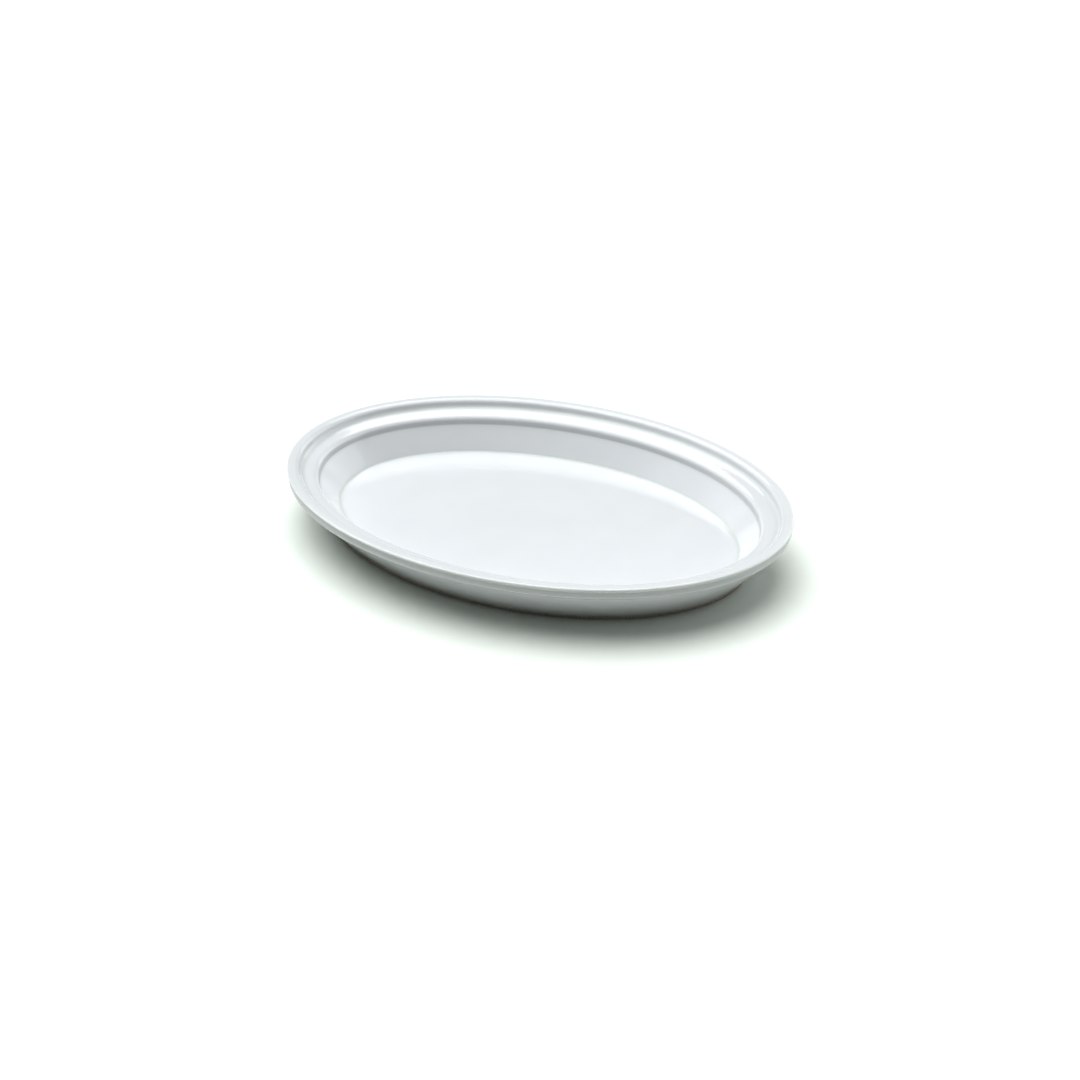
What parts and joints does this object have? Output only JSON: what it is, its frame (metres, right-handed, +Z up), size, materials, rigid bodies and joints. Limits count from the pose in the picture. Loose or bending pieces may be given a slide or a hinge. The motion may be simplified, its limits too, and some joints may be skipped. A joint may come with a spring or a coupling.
{
  "type": "oval serving platter",
  "caption": "Deep oval serving platter of heavy white glazed china, with a rolled and grooved rim, a stepped ledge, a sloping wall, a flat well and a dry foot ring.",
  "frame": {"origin": "on the table, under the middle of the platter", "axes": "+X along the platter's length, +Y across it, +Z up out of the well"},
  "size_m": [0.355, 0.247, 0.0396],
  "materials": {
    "fired_clay": "unglazed fired white clay, matte and slightly rough",
    "glaze": "opaque white gloss glaze"
  },
  "bodies": {
    "root": {"body": "fired_clay", "upper_glaze": "glaze", "base_glaze": "glaze"}
  },
  "joints": []
}
